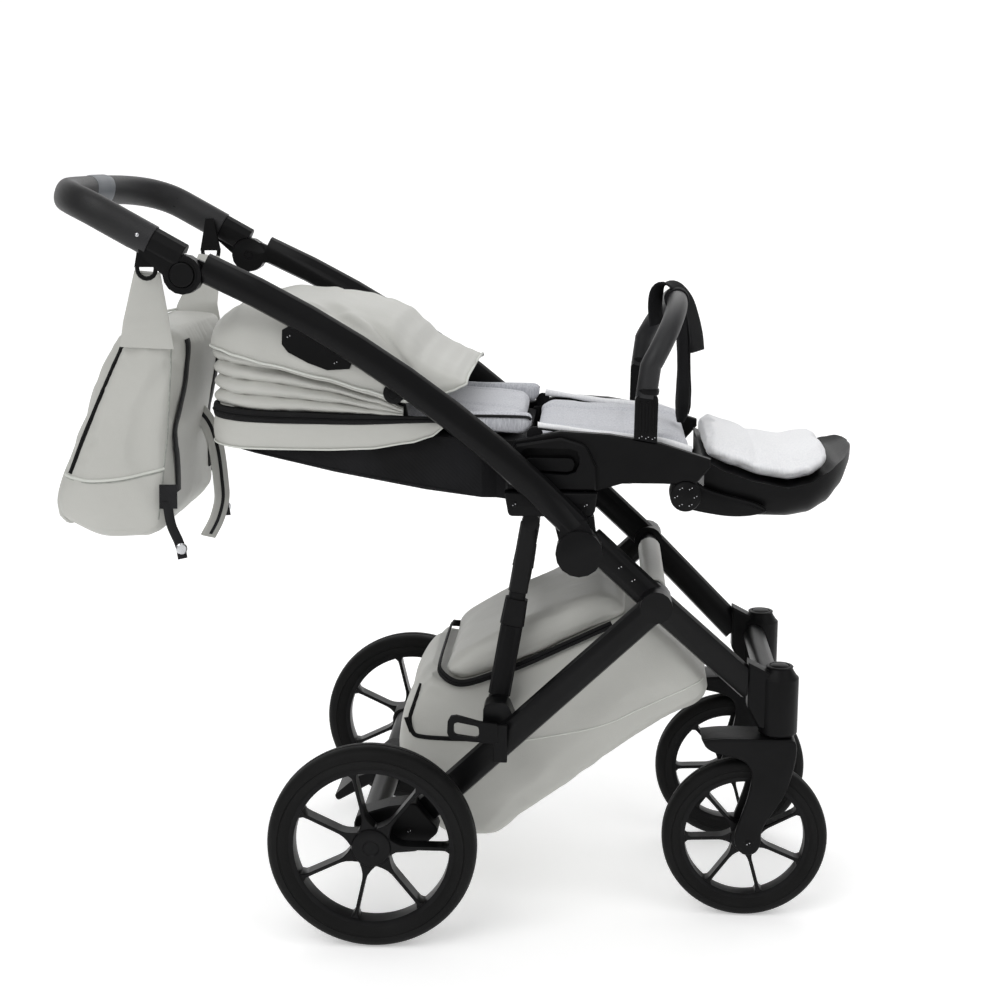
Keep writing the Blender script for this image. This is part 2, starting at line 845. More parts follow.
def build_chassis():
    """The frame's tubes, joints, axle parts, forks and the seat unit's hard pieces."""
    coat, nylon = "powder_coated_aluminium", "moulded_nylon"
    for node in ("front_cross_tube", "centre_cross_tube", "rear_axle_tube"):
        refine(node, coat, 0.001, 50)
    for node in ("cup_bracket", "brake_pedal", "seat_base"):
        refine(node, nylon)
    for label, _ in SIDES:
        for node in ("front_leg_", "rear_leg_", "upper_tube_"):
            refine(node + label, coat, 0.0022, 50)
        for node in (
            "swivel_housing_",
            "seat_receiver_",
            "rear_axle_block_",
            "strut_sleeve_",
            "strut_collar_",
            "release_paddle_",
            "seat_side_",
            "bag_hook_",
            "handle_button_",
        ):
            name = next(n for n in NODES if n.startswith(node) and n.endswith(label))
            refine(name, nylon)
        rod = next(n for n in NODES if n.startswith("strut_rod") and n.endswith(label))
        refine(rod, coat, 0.0010, 50)
    build_forks()


FORK_ARM = [
    (0.2010, 0.2785), (0.2060, 0.2680), (0.2200, 0.2600), (0.2440, 0.2545), (0.2660, 0.2440),
    (0.2730, 0.2240), (0.2680, 0.1920), (0.2590, 0.1620), (0.2515, 0.1380), (0.2520, 0.1180),
    (0.2610, 0.1060), (0.2710, 0.1030), (0.2820, 0.1070), (0.2890, 0.1200), (0.2905, 0.1420),
    (0.3010, 0.1620), (0.3210, 0.1960), (0.3330, 0.2350), (0.3370, 0.2680), (0.3320, 0.2810),
    (0.3150, 0.2822), (0.2700, 0.2822), (0.2300, 0.2818),
]
FORK_CROWN = [
    (0.1995, 0.2790), (0.2060, 0.2690), (0.2220, 0.2620), (0.2450, 0.2560), (0.2700, 0.2505),
    (0.3100, 0.2500), (0.3330, 0.2540), (0.3375, 0.2680), (0.3320, 0.2812), (0.3150, 0.2824),
    (0.2700, 0.2824), (0.2300, 0.2822),
]


def build_forks():
    """Caster forks: a beaked crown over the tyre and two arms that round off at the axle."""
    for label, side in SIDES:
        body = NODES["fork_" + label]["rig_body"]
        for tag, outline, inner, outer in (
            ("outer_arm", FORK_ARM, 0.1692, 0.1786),
            ("inner_arm", FORK_ARM, 0.1160, 0.1288),
            ("crown", FORK_CROWN, 0.1200, 0.1750),
        ):
            faces = sorted((side * inner, side * outer))
            bar = outline_solid(smooth_outline(outline, 110), *faces, 0.0034)
            part = make_object("fork_%s_%s" % (tag, label), bar, "moulded_nylon", 60)
            carry(part, body)
            if tag == "crown":
                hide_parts("fork_" + label)
        screw_set("fork_axle_screw_" + label, [(0.2710, side * 0.1787, 0.1220)], body, 0.0052)


def build_fittings():
    """Screws of the frame and the collars and caps on the caster housings."""
    screw_set(
        "receiver_screws",
        both_sides([(-0.072, 0.2088, 0.6325), (-0.022, 0.2088, 0.6325), (0.028, 0.2088, 0.6325)]),
        "front_frame",
    )
    screw_set("hub_screws", both_sides([(0.1280, 0.2334, 0.4924)]), "front_frame", 0.0055)
    screw_set(
        "fold_screws", both_sides([(0.0771, 0.2074, 0.5440), (0.0960, 0.2074, 0.5255)]), "front_frame"
    )
    screw_set("axle_screws", both_sides([(-0.2200, 0.2502, 0.1600)]), "rear_frame", 0.005)
    collar = [(0.0150, 0.0002), (0.0195, 0.0002), (0.0200, 0.0014), (0.0190, 0.0022), (0.0150, 0.0022)]
    crown = [(0, 0.0042), (0.008, 0.0038), (0.0130, 0.0024), (0.0146, 0.0002)]
    for label, side in SIDES:
        housing = NODES["swivel_housing_" + label]
        above = put(0.3108, side * 0.149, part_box("swivel_housing_" + label)[1].z)
        seat = laid([above], housing, (0, 0, -1), 0.0)[0]
        ring = lathe(collar, seat, (0, 0, 1), 40, ring=True)
        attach(make_object("swivel_ring_" + label, ring, "moulded_nylon"), "front_frame")
        cap = lathe(crown, seat, (0, 0, 1), 32)
        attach(make_object("swivel_cap_" + label, cap, "moulded_nylon"), "front_frame")


# ---------------------------------------------------------------- wheels


def tyre_profile(radius, depth, width):
    """Half of a foam tyre's section, from the bead out to the tread, as (radius, along)."""
    half = width / 2
    return [
        (radius - depth + 0.0004, half * 0.60),
        (radius - depth * 0.86, half * 0.80),
        (radius - depth * 0.66, half * 0.93),
        (radius - depth * 0.54, half * 0.985),
        (radius - depth * 0.50, half * 0.94),
        (radius - depth * 0.46, half * 0.985),
        (radius - depth * 0.28, half * 0.95),
        (radius - depth * 0.14, half * 0.82),
        (radius - depth * 0.05, half * 0.60),
        (radius - 0.0004, half * 0.34),
        (radius - 0.0002, half * 0.08),
        (radius - 0.0016, half * 0.04),
    ]


def spoke_web(inner, outer, thick, phase, depth, centre, bm):
    """Blades that flow into one filleted star round the hub."""
    step = 2 * math.pi / BLADES
    ring = []
    rows = 12
    near = inner * math.sin(step / 2)
    for i in range(BLADES):
        turn = phase + step * i
        blade = []
        for k in range(rows + 1):
            share = k / rows
            r = inner + (outer - inner) * share
            root = max(0.0, 1 - (r - inner) / (outer * 0.22)) ** 2.4
            foot = max(0.0, 1 - (outer - r) / (outer * 0.10)) ** 2.2
            half = thick / 2 + (near - thick / 2) * root + thick * 0.9 * foot
            blade.append((r, half))
        for r, half in blade:
            ring.append((r, turn - math.asin(min(0.999, half / r))))
        for r, half in reversed(blade[1:]):
            ring.append((r, turn + math.asin(min(0.999, half / r))))
    rings = []
    for y, inset in ((-depth, 0.0012), (-depth + 0.0012, 0.0), (depth - 0.0012, 0.0), (depth, 0.0012)):
        layer = []
        for i, (r, turn) in enumerate(ring):
            before, after = ring[i - 1], ring[(i + 1) % len(ring)]
            a = Vector((before[0] * math.cos(before[1]), before[0] * math.sin(before[1])))
            b = Vector((after[0] * math.cos(after[1]), after[0] * math.sin(after[1])))
            here = Vector((r * math.cos(turn), r * math.sin(turn)))
            ahead = (b - a).normalized()
            inward = Vector((-ahead.y, ahead.x))
            point = here + inward * inset
            layer.append(centre + Vector((point.x, y, point.y)))
        rings.append(layer)
    return skin(rings, bm=bm)


def build_wheel(name, radius, depth, width, hub_r, hub_w, phase):
    """One wheel: foam tyre, rim barrel, blades and the capped hub."""
    low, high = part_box(name + "_tyre")
    centre = (low + high) / 2
    body = NODES[name + "_tyre"]["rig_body"]
    half = tyre_profile(radius, depth, width)
    profile = half + [(r, -a) for r, a in reversed(half)]
    turned = lathe(profile, centre, (0, 1, 0), 112, ring=True)
    tyre = make_object(name + "_foam", turned, "eva_foam_rubber")
    carry(tyre, body, name + "_tyre")
    out = radius - depth + 0.0006
    inner = out - 0.0052
    reach = width / 2 * 0.60
    barrel = [
        (out, reach * 0.90),
        (out + 0.0022, reach * 1.04),
        (out + 0.0020, reach * 1.14),
        (out - 0.0010, reach * 1.16),
        (inner, reach * 1.02),
        (inner - 0.0008, reach * 0.55),
        (inner - 0.0008, 0.0),
    ]
    whole = barrel + [(r, -a) for r, a in reversed(barrel[:-1])]
    bm = lathe(whole, centre, (0, 1, 0), 96, ring=True)
    spoke_web(hub_r * 0.95, inner + 0.0012, 0.0052, phase, hub_w / 2 - 0.0046, centre, bm)
    cap = [
        (0, hub_w / 2 - 0.0022),
        (hub_r * 0.34, hub_w / 2 - 0.0024),
        (hub_r * 0.40, hub_w / 2 - 0.0005),
        (hub_r * 0.72, hub_w / 2 - 0.0003),
        (hub_r * 0.90, hub_w / 2 - 0.0020),
        (hub_r * 1.00, hub_w / 2 - 0.0070),
        (hub_r * 1.00, 0.0),
    ]
    for sense in (-1, 1):
        lathe(cap, centre, (0, sense, 0), 48, bm=bm)
    rim = make_object(name + "_centre", bm, "glass_filled_nylon", 35)
    carry(rim, body, name + "_rim")


def build_wheels():
    """The two rear and two front wheels."""
    for label, _ in SIDES:
        for prefix, *dims in WHEELS:
            build_wheel(prefix + "_" + label, *dims)


# ---------------------------------------------------------------- handlebar


def grip_path(count_arm, count_bend):
    """Centre line of the handlebar, from the left joint round to the right one."""
    start_x, start_z = -0.5265, 0.9729
    corner_z = start_z + (start_x - BAR_CORNER_X) * BAR_SLOPE
    reach = BAR_CORNER_X - BAR_REAR_X
    half = []
    for i in range(count_arm):
        x = start_x + (BAR_CORNER_X - start_x) * i / count_arm
        half.append(Vector((x, TUBE_Y, start_z + (start_x - x) * BAR_SLOPE)))
    for i in range(count_bend // 2 + 1):
        turn = math.pi * i / count_bend
        back = reach * math.sin(turn)
        z = corner_z + BAR_SLOPE * back - BAR_SLOPE * back**2 / (2 * reach)
        half.append(Vector((BAR_CORNER_X - back, TUBE_Y * max(math.cos(turn), 0) ** 0.9, z)))
    return mirrored(half)


def grip_rings(path, half_w, half_h, steps):
    """Rings of the handlebar's cover; the section's height stays square to its own run."""
    rings = []
    for i, point in enumerate(path):
        ahead = ahead_of(path, i)
        plane_up = Vector((BAR_SLOPE * 0.6, 0, 1)).normalized()
        up = (plane_up - ahead * plane_up.dot(ahead)).normalized()
        side = ahead.cross(up)
        place = put(point.x, point.y, point.z)
        rings.append([place + side * a + up * b for a, b in rounded(half_w, half_h, steps, 2.2)])
    return rings


def build_handlebar():
    """Leatherette cover, its seam, the grey band, rivets and the joints' buttons."""
    refine("handlebar", "moulded_nylon")
    path = grip_path(10, 72)
    covered = [i for i, p in enumerate(path) if p.x < -0.560]
    rings = grip_rings(path, 0.0163, 0.0226, 32)
    cover = make_object("grip_cover", skin([rings[i] for i in covered]), "black_leatherette", 60)
    carry(cover, "handle")
    banded = [i for i, p in enumerate(path) if SLEEVE_FROM_Y <= p.y <= SLEEVE_TO_Y]
    wide = grip_rings(path, 0.0178, 0.0240, 32)
    slim = grip_rings(path, 0.0167, 0.0230, 32)
    ends = [slim[banded[0]]] + [wide[i] for i in banded[1:-1]] + [slim[banded[-1]]]
    band = make_object("grip_band", skin(ends), "grey_leatherette", 60)
    carry(band, "handle", "handle_sleeve")
    seam = []
    for i in covered[2:-2]:
        ring = grip_rings(path[max(i - 1, 0) : i + 2], 0.0165, 0.0228, 32)[1]
        seam.append((ring[23] + ring[24]) / 2)
    cord_along("grip_seam", seam, 0.0006, "black_leatherette", "handle", 6)
    rivet = [(0, 0.0022), (0.0018, 0.0019), (0.0032, 0.0008), (0.0036, -0.0006)]
    lip = [(0.0176, 0.0000), (0.0182, 0.0009), (0.0200, 0.0010), (0.0206, 0.0000)]
    rivet_z = JOINT_Z + 0.0215 + (JOINT_X - HOOK_X) * BAR_SLOPE
    for label, side in SIDES:
        dome = lathe(rivet, put(HOOK_X, side * (TUBE_Y + 0.0150), rivet_z), (0, side, 0), 20)
        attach(make_object("grip_rivet_" + label, dome, "plated_steel"), "handle")
        face = put(JOINT_X, side * (TUBE_Y + 0.0121), JOINT_Z)
        ring = lathe(lip, face, (0, side, 0), 48, ring=True)
        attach(make_object("joint_ring_" + label, ring, "moulded_nylon"), "handle")


# ---------------------------------------------------------------- hood


def u_line(front_x, rear_x, half_w, corner, count):
    """Evenly spaced (place, outward) pairs along one side, round the back, and along the other."""
    points = [Vector((front_x, -half_w, 0))]
    for end_y, first in ((-half_w + corner, -90), (half_w - corner, -180)):
        for k in range(13):
            turn = math.radians(first - 90 * k / 12)
            points.append(
                Vector((rear_x + corner + corner * math.cos(turn), end_y + corner * math.sin(turn), 0))
            )
    points.append(Vector((front_x, half_w, 0)))
    runs = [0.0]
    for a, b in zip(points, points[1:]):
        runs.append(runs[-1] + (b - a).length)
    line = []
    index = 0
    for k in range(count):
        goal = runs[-1] * k / (count - 1)
        while index < len(runs) - 2 and runs[index + 1] < goal:
            index += 1
        span = max(runs[index + 1] - runs[index], 1e-9)
        line.append(points[index].lerp(points[index + 1], (goal - runs[index]) / span))
    middle = Vector(((front_x + rear_x) / 2, 0, 0))
    pairs = []
    for i, point in enumerate(line):
        ahead = ahead_of(line, i)
        out = Vector((-ahead.y, ahead.x, 0))
        if out.dot(point - middle) < 0:
            out = -out
        pairs.append((point, out))
    return pairs


def u_skin(pairs, low_at, high_at, wall, swell_at, rows):
    """A closed band along a U: swell_at(point, share) moves its outer face out and up."""
    rings = []
    for point, out in pairs:
        low, high = low_at(point.x), high_at(point.x)
        outer, inner = [], []
        for k in range(rows + 1):
            share = k / rows
            lift, rise = swell_at(point, share)
            place = point + out * lift
            outer.append(put(place.x, place.y, low + (high - low) * share + rise))
        for share in (1.0, 0.5, 0.0):
            place = point - out * wall
            inner.append(put(place.x, place.y, low + (high - low) * share))
        rings.append(outer + inner)
    return skin(rings)


def height_line(table):
    """A curve of height against X through a table of (x, z)."""
    rows = sorted(table)

    def height(x):
        return interpolate(rows, x)[0]

    return height


HOOD_BOTTOM = height_line([
    (-0.513, 0.7055), (-0.460, 0.7030), (-0.400, 0.7022), (-0.338, 0.7020),
    (-0.278, 0.7042), (-0.219, 0.7135), (-0.190, 0.7225), (-0.168, 0.7390),
])
ZIP_LOW = height_line([
    (-0.513, 0.7440), (-0.400, 0.7400), (-0.300, 0.7392), (-0.190, 0.7430), (-0.168, 0.7445),
])
ZIP_HIGH = height_line([
    (-0.513, 0.7615), (-0.400, 0.7560), (-0.300, 0.7530), (-0.190, 0.7505), (-0.168, 0.7480),
])
PLEAT_TOP = height_line([
    (-0.513, 0.8440), (-0.440, 0.8400), (-0.340, 0.8160), (-0.270, 0.7860), (-0.2300, 0.7640),
])


HOOD_ROLLS = 4


def gathered(point, share):
    """Outward swell of the folded hood's rolls, with their creases and drawn knots."""
    near_front = smooth_step(-0.235, -0.330, point.x)
    phase = HOOD_ROLLS * share + 0.17 * ripple(point.x, point.y, 0.0, 0.060, 3.1) * near_front
    crest = abs(math.sin(math.pi * phase)) ** 0.62
    depth = 0.0025 + 0.0085 * near_front
    pinch = ripple(point.x, point.y, share * 0.09, 0.016, 7.7)
    drift = ripple(point.x, point.y, share * 0.12, 0.048, 1.3)
    gather = 0.0024 * pinch * (0.30 + 0.70 * (1 - crest)) + 0.0016 * drift
    lift = depth * (crest - 1) - 0.0008 + gather
    rise = 0.0022 * ripple(point.x, point.y, 0.3, 0.050, 5.0 + round(phase)) * math.sin(math.pi * share)
    return min(lift, -0.0004), rise


CANOPY = [
    (-0.5119, 0.8446, 0.8500, 1.000),
    (-0.5090, 0.8444, 0.8690, 1.000),
    (-0.5020, 0.8436, 0.8830, 1.000),
    (-0.4900, 0.8415, 0.8930, 1.000),
    (-0.4620, 0.8330, 0.9080, 1.000),
    (-0.4200, 0.8210, 0.9150, 1.000),
    (-0.3400, 0.8020, 0.9080, 1.000),
    (-0.2800, 0.7850, 0.8950, 1.000),
    (-0.2500, 0.7770, 0.8830, 1.000),
    (-0.2260, 0.7720, 0.8610, 0.998),
    (-0.2050, 0.7730, 0.8390, 0.990),
    (-0.1800, 0.7800, 0.8250, 0.970),
    (-0.1600, 0.7870, 0.8150, 0.930),
    (-0.1470, 0.7930, 0.8070, 0.890),
    (-0.1410, 0.7960, 0.8030, 0.860),
]


def canopy_place(x, share, lift=0.0):
    """A place on the canopy: share runs over it from the near hem (0) to the far hem (1)."""
    low, top, width = interpolate(CANOPY, x)
    turn = math.pi * share
    c, s = math.cos(turn), math.sin(turn)
    into_corner = min(max(-0.4420 - x, 0.0), 0.0699)
    half = (0.1245 + math.sqrt(0.070**2 - into_corner**2)) * width
    y = -half * math.copysign(abs(c) ** 0.42, c)
    z = low + (top - low) * max(s, 0.0) ** 0.7
    outward = Vector((0, -c, s)).normalized()
    return put(x, y, z) + outward * lift


def canopy_lift(x, share):
    """The folded top's slack: a raised crescent over each arm and gathers drawn up from it."""
    side = min(share, 1 - share)
    hem = smooth_step(0.0, 0.05, side)
    along = min(max((x + 0.36) / 0.125, 0.0), 1.3)
    edge = 0.285 - 0.165 * along**2
    crescent = 1 - smooth_step(edge - 0.012, edge + 0.010, side)
    active = smooth_step(-0.42, -0.36, x) * (1 - smooth_step(-0.222, -0.205, x))
    fold = math.sin((x / 0.030 + side * 8.0) * 3.2 + 1.8 * ripple(x, share, 0.0, 0.07, 2.0))
    reach = math.exp(-(((side - edge - 0.055) / 0.060) ** 2)) * (1 - crescent)
    broad = 0.0020 * ripple(x, share * 0.5, 0.2, 0.055, 9.0)
    return hem * (active * (0.0050 * crescent + 0.0070 * fold * reach) + broad) - 0.0012


def build_hood():
    """The folded hood: light band, zip, gathered rolls, crowned top and its bow."""
    pairs = u_line(-0.1680, -0.5118, 0.1836, 0.070, 150)

    def band_swell(point, share):
        slack = 0.0010 * ripple(point.x, point.y, share * 0.04, 0.045, 4.0)
        return 0.0018 + 0.0026 * math.sin(math.pi * share) ** 0.8 - 0.0026 + slack, 0.0

    def below_zip(x):
        return ZIP_LOW(x) - 0.0004

    skirt = u_skin(pairs, HOOD_BOTTOM, below_zip, 0.0100, band_swell, 10)
    band = make_object("hood_band", skirt, "pale_leatherette", 50)
    carry(band, "backrest", "hood_rear_band")

    def flat_swell(point, share):
        return 0.0004 + 0.0012 * math.sin(math.pi * share) ** 0.5, 0.0

    tape = u_skin(pairs, ZIP_LOW, ZIP_HIGH, 0.0085, flat_swell, 6)
    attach(make_object("hood_zip", tape, "zip_tape", 50), "backrest")
    teeth = []
    for point, out in pairs[2:-2]:
        place = point + out * 0.0018
        teeth.append(put(place.x, place.y, (ZIP_LOW(point.x) + ZIP_HIGH(point.x)) / 2))
    cord_along("hood_zip_chain", teeth, 0.0013, "moulded_nylon", "backrest", 6)
    edge = []
    for point, out in pairs:
        place = point + out * 0.0014
        edge.append(put(place.x, place.y, HOOD_BOTTOM(point.x) + 0.0012))
    cord_along("hood_band_hem", edge, 0.0013, "pale_trim", "backrest", 6)
    bracket = [(-0.2625, 0.7400), (-0.2225, 0.7400), (-0.2315, 0.7954), (-0.2495, 0.7954)]
    for label, side in SIDES:
        faces = side * 0.1668, side * 0.1730
        flat_plate("hood_bracket_" + label, bracket, *faces, "moulded_nylon", "backrest")

    folds = u_line(-0.2300, -0.5118, 0.1836, 0.070, 230)

    def above_zip(x):
        return ZIP_HIGH(x) + 0.0002

    stack = u_skin(folds, above_zip, PLEAT_TOP, 0.0125, gathered, 40)
    rolls = make_object("hood_folds", stack, "pale_leatherette", 60)
    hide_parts("hood_pleats")
    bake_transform(rolls)

    rows = [-0.5119 + 0.3709 * (0.5 - 0.5 * math.cos(math.pi * i / 110)) for i in range(111)]
    cols = [j / 90 for j in range(91)]
    grid = [[canopy_place(x, s, canopy_lift(x, s)) for s in cols] for x in rows]
    top = make_object("hood_canopy_top", sheet_grid(grid, 0.0030), "pale_leatherette", 60)
    carry(top, "hood_canopy", "hood_top")
    hem = [canopy_place(x, 0.004, 0.0012) for x in rows[4:]]
    hem += [canopy_place(rows[-1], s, 0.0012) for s in cols[2:-2]]
    hem += [canopy_place(x, 0.996, 0.0012) for x in reversed(rows[4:])]
    cord_along("hood_hem", hem, 0.0016, "pale_trim", "hood_canopy", 8)

    bow = refine("hood_bow", "moulded_nylon")
    for vert in bow.data.vertices:
        vert.co.y *= 0.94  # its arms stay inside the canopy's sides
    plate = [
        (-0.3960, 0.8540), (-0.3950, 0.8740), (-0.3860, 0.8790), (-0.3560, 0.8700),
        (-0.3200, 0.8470), (-0.2980, 0.8300), (-0.3020, 0.8200), (-0.3330, 0.8180),
        (-0.3600, 0.8280), (-0.3880, 0.8430),
    ]
    knob = [
        (0, 0.0122), (0.0060, 0.0120), (0.0072, 0.0106),
        (0.0128, 0.0106), (0.0150, 0.0090), (0.0156, 0.0),
    ]
    for label, side in SIDES:
        faces = side * 0.1900, side * 0.1990
        flat_plate("hinge_plate_" + label, plate, *faces, "moulded_nylon", "hood", 0.0010)
        turned = lathe(knob, put(-0.2405, side * 0.1896, 0.7864), (0, side, 0), 40)
        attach(make_object("hood_knob_" + label, turned, "moulded_nylon"), "hood")
    screws = both_sides([(-0.3860, 0.1991, 0.8650), (-0.3210, 0.1991, 0.8290)])
    screw_set("hood_screws", screws, "hood", 0.0036)


# ---------------------------------------------------------------- liner


def pad_skin(stations, half_w, thickness, crown, steps=36, count=40):
    """A crowned pad from (x, z, share) stations: flat below, rounded sides and ends."""
    rings = []
    first, last = stations[0][0], stations[-1][0]
    for i in range(count):
        x = first + (last - first) * (0.5 - 0.5 * math.cos(math.pi * i / (count - 1)))
        z, share = interpolate(stations, x)
        ring = []
        for k in range(steps):
            turn = 2 * math.pi * (k + 0.5) / steps
            c, s = math.cos(turn), math.sin(turn)
            y = half_w * share * math.copysign(abs(c) ** 0.55, c)
            lift = thickness * share / 2 * math.copysign(abs(s) ** 0.75, s)
            if s > 0:
                lift += crown * (1 - (y / half_w) ** 2) * share
            ring.append(put(x, y, z + lift))
        rings.append(ring)
    return skin(rings)


def grooves(obj, lines, depth, half_w):
    """Press sewn channels into a pad's top: lines(x, y) is the way to the nearest seam."""
    points, normals = read_points(obj), read_points(obj, "normal")
    for i, p in enumerate(points):
        if normals[i][2] < 0.2:
            continue
        away = lines(p[0] - SHIFT, p[1])
        points[i] -= normals[i] * depth * math.exp(-((away / half_w) ** 2))
    write_points(obj, points)


SEAT_STATIONS = [
    (-0.0500, 0.7230, 0.84),
    (-0.0400, 0.7220, 0.96),
    (0.0000, 0.7180, 1.00),
    (0.0300, 0.7160, 1.00),
    (0.0800, 0.7150, 1.00),
    (0.1300, 0.7130, 1.00),
    (0.1680, 0.7080, 0.97),
    (0.1780, 0.7050, 0.84),
]
BACK_STATIONS = [
    (-0.4780, 0.7560, 0.84),
    (-0.4700, 0.7555, 0.96),
    (-0.4000, 0.7520, 1.00),
    (-0.3000, 0.7460, 1.00),
    (-0.2000, 0.7400, 1.00),
    (-0.1200, 0.7350, 1.00),
    (-0.0670, 0.7310, 0.96),
    (-0.0590, 0.7300, 0.84),
]
BACK_RIM = [
    (-0.1900, 0.7330), (-0.1300, 0.7290), (-0.0700, 0.7240), (-0.0560, 0.7290), (-0.0500, 0.7420),
    (-0.0530, 0.7530), (-0.0700, 0.7550), (-0.1300, 0.7555), (-0.1850, 0.7560), (-0.1920, 0.7480),
]
BACK_PIPING = [(-0.185, 0.7490), (-0.120, 0.7500), (-0.060, 0.7490), (-0.0505, 0.7450)]
SEAT_RIM = [
    (-0.0410, 0.7420), (-0.0100, 0.7380), (0.0424, 0.7300),
    (0.0930, 0.7250), (0.1350, 0.7200), (0.1760, 0.7080),
]
FOOT_STATIONS = [
    (0.1970, 0.7010, 0.84),
    (0.2050, 0.7000, 0.96),
    (0.2350, 0.6890, 1.00),
    (0.2800, 0.6745, 1.00),
    (0.3200, 0.6685, 1.00),
    (0.3500, 0.6740, 0.98),
    (0.3680, 0.6810, 0.86),
    (0.3760, 0.6840, 0.70),
]


def seat_seams(x, y):
    """Distance to the seat pad's seams: two along it, and one across between them."""
    return min(abs(abs(y) - 0.085), abs(x - 0.085) if abs(y) < 0.085 else 1)


def back_seams(x, y):
    """Distance to the backrest pad's seams: two along it, and two across between them."""
    across = min(abs(x + 0.36), abs(x + 0.22)) if abs(y) < 0.08 else 1
    return min(abs(abs(y) - 0.080), across)


def build_liner():
    """Melange liner: seat pad, backrest pad, and the low piped rims beside each."""
    padding = pad_skin(SEAT_STATIONS, 0.1610, 0.028, -0.013)
    seat = make_object("seat_liner", padding, "melange_jersey", 80)
    puff(seat, 0.0055, sizes().puff, 0.02)
    grooves(seat, seat_seams, 0.0035, 0.006)
    dress(seat, "seat", "seat_cushion")
    padding = pad_skin(BACK_STATIONS, 0.1445, 0.028, 0.002)
    back = make_object("back_liner", padding, "melange_jersey", 80)
    puff(back, 0.006, sizes().puff, 0.02)
    grooves(back, back_seams, 0.0035, 0.006)
    dress(back, "backrest", "backrest_cushion")
    for label, side in SIDES:
        faces = sorted((side * 0.1440, side * 0.1610))
        roll = outline_solid(smooth_outline(BACK_RIM, 56), *faces, 0.0070)
        edge = make_object("back_rim_" + label, roll, "melange_jersey", 80)
        puff(edge, 0.0040, 0.0025, 0.01)
        dress(edge, "backrest")
        line = spline([put(x, side * 0.1622, z) for x, z in BACK_PIPING], 30)
        cord_along("back_piping_" + label, line, sizes().piping, "webbing", "backrest")
        path = spline([put(x, side * 0.1640, z) for x, z in SEAT_RIM], 48)
        rings = []
        for k, point in enumerate(path):
            tall = 0.0050 + 0.0020 * ripple(point.x, side, 0.5, 0.030, 4.0)
            tall += 0.0015 * smooth_step(0.4, 0.8, k / 47)
            wide = 0.0052 + 0.0008 * ripple(point.x, side, 0.0, 0.020, 3.0)
            section = rounded(tall, wide, 20, 2.4)
            rings.append([point + Vector((0, b, a - 0.004)) for a, b in section])
        wall = make_object("seat_rim_" + label, skin(rings), "pale_jersey", 80)
        carry(wall, "seat")
        line = [p + Vector((0, side * 0.0046, -0.0080)) for p in path]
        cord_along("seat_piping_" + label, line, 0.0016, "webbing", "seat")


TRAY = [
    (0.1950, 0.6100, 0.6860),
    (0.2300, 0.5995, 0.6690),
    (0.2700, 0.5965, 0.6560),
    (0.3145, 0.5965, 0.6480),
    (0.3450, 0.6010, 0.6540),
    (0.3720, 0.6140, 0.6680),
    (0.3940, 0.6360, 0.6810),
    (0.4100, 0.6640, 0.6900),
    (0.4170, 0.6840, 0.6920),
]


FOOT_ARM = [
    (0.1590, 0.6240), (0.1760, 0.6180), (0.2000, 0.6130), (0.2300, 0.6090), (0.2600, 0.6100),
    (0.2840, 0.6170), (0.2700, 0.6270), (0.2450, 0.6340), (0.2180, 0.6410), (0.1960, 0.6490),
    (0.1800, 0.6600), (0.1620, 0.6610),
]
FOOT_HINGE_X, FOOT_HINGE_Z = 0.1677, 0.6424


def build_footrest():
    """The footrest's scoop with its rounded toe, its hinge discs, arms and their screws."""
    rings = []
    for i in range(48):
        x = TRAY[0][0] + (TRAY[-1][0] - TRAY[0][0]) * math.sin(math.pi / 2 * i / 47)
        low, high = interpolate(TRAY, x)
        into_toe = max(0.0, (x - 0.290) / 0.1271)
        half = 0.1495 * max(1 - into_toe**3.0, 0.0) ** 0.46
        ring = []
        for k in range(30):
            turn = math.pi * k / 29
            c, s = math.cos(turn), math.sin(turn)
            y = half * math.copysign(abs(c) ** 0.42, c)
            ring.append(put(x, y, high - (high - low) * s**0.62))
        sunk = 0.0050 * smooth_step(0.34, 0.38, x) * smooth_step(0.416, 0.405, x)
        for k in range(1, 14):
            across = 1 - 2 * k / 14
            dip = sunk * (1 - abs(across) ** 8)
            ring.append(put(x, -half * across * 0.97, high - 0.0012 - dip))
        rings.append(ring)
    tray = make_object("footrest_scoop", skin(rings), "moulded_nylon", 50)
    carry(tray, "footrest", "footrest")
    disc = [
        (0, 0.0008), (0.0170, 0.0008), (0.0180, 0.0),
        (0.0205, -0.0004), (0.0220, -0.0022), (0.0220, -0.0440),
    ]
    for label, side in SIDES:
        faces = sorted((side * 0.1440, side * 0.1640))
        bar = outline_solid(smooth_outline(FOOT_ARM, 70), *faces, 0.0040)
        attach(make_object("footrest_arm_" + label, bar, "moulded_nylon", 60), "footrest")
        turned = lathe(disc, put(FOOT_HINGE_X, side * 0.1885, FOOT_HINGE_Z), (0, side, 0), 48)
        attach(make_object("footrest_hinge_" + label, turned, "moulded_nylon"), "footrest")
    ring = []
    for k in range(6):
        turn = k * math.pi / 3
        x = FOOT_HINGE_X + 0.0135 * math.cos(turn)
        ring.append((x, 0.1893, FOOT_HINGE_Z + 0.0135 * math.sin(turn)))
    screw_set("footrest_hinge_screws", both_sides(ring), "footrest", 0.0022)


def build_footrest_pad():
    """The pale apron that lies in the footrest's scoop, with one sewn channel."""
    padding = pad_skin(FOOT_STATIONS, 0.1330, 0.028, 0.007)
    pad = make_object("footrest_apron", padding, "pale_jersey", 80)
    puff(pad, 0.005, 0.0045, 0.02)
    grooves(pad, lambda x, y: abs(x - 0.272), 0.0030, 0.006)
    dress(pad, "footrest", "footrest_pad")


# ---------------------------------------------------------------- bumper bar


